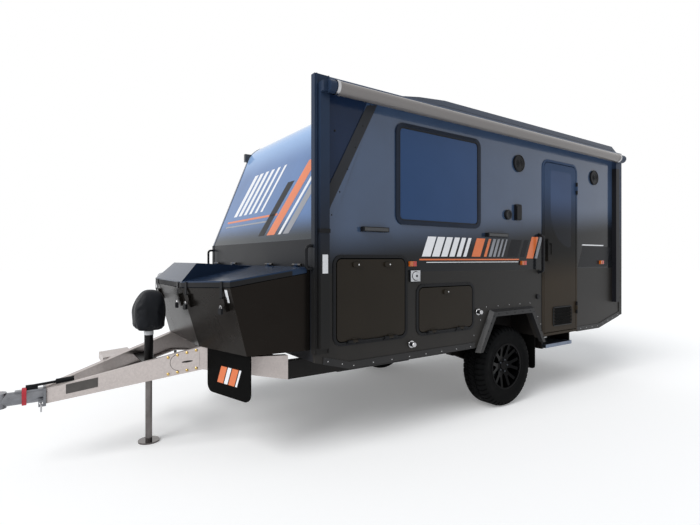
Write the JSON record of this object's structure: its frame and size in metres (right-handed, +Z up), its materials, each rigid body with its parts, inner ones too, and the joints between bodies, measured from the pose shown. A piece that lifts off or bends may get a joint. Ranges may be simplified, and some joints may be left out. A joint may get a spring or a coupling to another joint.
{
  "type": "camper trailer",
  "caption": "Off-road camper trailer with a hollow sandwich-panel cabin, one axle, drawbar, jack, front toolbox, hinged door, hatches and lid, and a rolled side awning.",
  "frame": {"origin": "ground level, at the middle of the box around the trailer's length and width", "axes": "+X forward to the coupling, +Y to the left side with the door, +Z up"},
  "size_m": [6.2, 2.3699, 2.775],
  "materials": {
    "body_gloss": "gloss graphite",
    "body_satin": "satin charcoal",
    "roof_sheet": "satin slate",
    "wing_gloss": "gloss navy",
    "trim_dark": "powder coat",
    "trim_satin": "satin charcoal",
    "floor_board": "sealed underside",
    "box_black": "matte",
    "chassis_black": "satin black",
    "galvanised": "hot-dip galvanised",
    "cast_black": "painted",
    "zinc": "zinc plated",
    "cover_cloth": "coated cloth",
    "toolbox_black": "satin black",
    "flap_rubber": "matte",
    "tyre": "rubber",
    "rim_black": "gloss black",
    "frame_black": "satin black",
    "window_tint": "tinted acrylic",
    "hatch_satin": "satin brown-black",
    "awning_vinyl": "rolled vinyl",
    "tank_plastic": "black polythene",
    "lamp_amber": "lens",
    "fitting_black": "satin"
  },
  "bodies": {
    "trailer": {"floor_panel": "floor_board", "side_wall_left": "body_gloss", "side_wall_right": "body_gloss", "front_wall": "body_satin", "slope_wall": "body_gloss", "roof_panel": "roof_sheet", "rear_wall": "body_gloss", "wing_panel": "wing_gloss", "corner_posts": "trim_dark", "trim_strips": "trim_dark", "skirt_bands": "trim_satin", "wheel_boxes": "box_black", "arch_flares": "trim_satin", "chassis_rail_left": "chassis_black", "chassis_rail_right": "chassis_black", "cross_members": "chassis_black", "drawbar_left": "galvanised", "drawbar_right": "galvanised", "coupling": "zinc", "handbrake": "frame_black", "jack_tube": "chassis_black", "jack_leg": "zinc", "jack_cover": "cover_cloth", "toolbox": "toolbox_black", "lid_hinges": "zinc", "front_flaps": "flap_rubber", "rear_flaps": "flap_rubber", "suspension_arms": "chassis_black", "spring_bellows": "flap_rubber", "stub_axles": "zinc", "drawbar_tray": "galvanised", "window_frames": "frame_black", "window_panes": "window_tint", "door_frame": "frame_black", "door_hinges": "fitting_black", "hatch_frames": "frame_black", "hatch_hinges": "fitting_black", "awning_roll": "awning_vinyl", "awning_arms": "trim_dark", "step_runners": "chassis_black", "water_tank": "tank_plastic", "grab_handles": "frame_black", "lamps": "lamp_amber", "wall_fittings": "fitting_black", "rear_bumper": "galvanised"},
    "wheel_left": {"tyre_left": "tyre", "rim_left": "rim_black", "brake_drum_left": "cast_black"},
    "wheel_right": {"tyre_right": "tyre", "rim_right": "rim_black", "brake_drum_right": "cast_black"},
    "door": {"entry_door": "body_gloss", "door_pane": "window_tint"},
    "hatch_front_left": {"tall_hatch_left": "hatch_satin"},
    "hatch_low_left": {"low_hatch_left": "hatch_satin"},
    "hatch_front_right": {"tall_hatch_right": "hatch_satin"},
    "lid": {"toolbox_lid": "toolbox_black"},
    "step": {"step_tray": "zinc"}
  },
  "joints": [
    {"name": "wheel_left_spin", "type": "hinge", "parent": "trailer", "child": "wheel_left", "pos_m": [-0.91, 0.8875, 0.384], "axis": [0, 1, 0], "continuous": true},
    {"name": "wheel_right_spin", "type": "hinge", "parent": "trailer", "child": "wheel_right", "pos_m": [-0.91, -0.9775, 0.384], "axis": [0, 1, 0], "continuous": true},
    {"name": "entry_door_swing", "type": "hinge", "parent": "trailer", "child": "door", "pos_m": [-2.034, 1.068, 1.5], "axis": [0, 0, 1], "range_deg": [0, 155]},
    {"name": "tall_hatch_left_swing", "type": "hinge", "parent": "trailer", "child": "hatch_front_left", "pos_m": [0.757, 1.068, 0.823], "axis": [-1, 0, 0], "range_deg": [0, 165]},
    {"name": "low_hatch_left_swing", "type": "hinge", "parent": "trailer", "child": "hatch_low_left", "pos_m": [-0.0335, 1.068, 0.823], "axis": [-1, 0, 0], "range_deg": [0, 165]},
    {"name": "tall_hatch_right_swing", "type": "hinge", "parent": "trailer", "child": "hatch_front_right", "pos_m": [0.757, -1.158, 0.823], "axis": [1, 0, 0], "range_deg": [0, 165]},
    {"name": "toolbox_lid_lift", "type": "hinge", "parent": "trailer", "child": "lid", "pos_m": [1.278, -0.045, 1.377], "axis": [0, -1, 0], "range_deg": [0, 75]},
    {"name": "step_slide", "type": "slide", "parent": "trailer", "child": "step", "axis": [0, 1, 0], "range_m": [0, 0.2]}
  ]
}
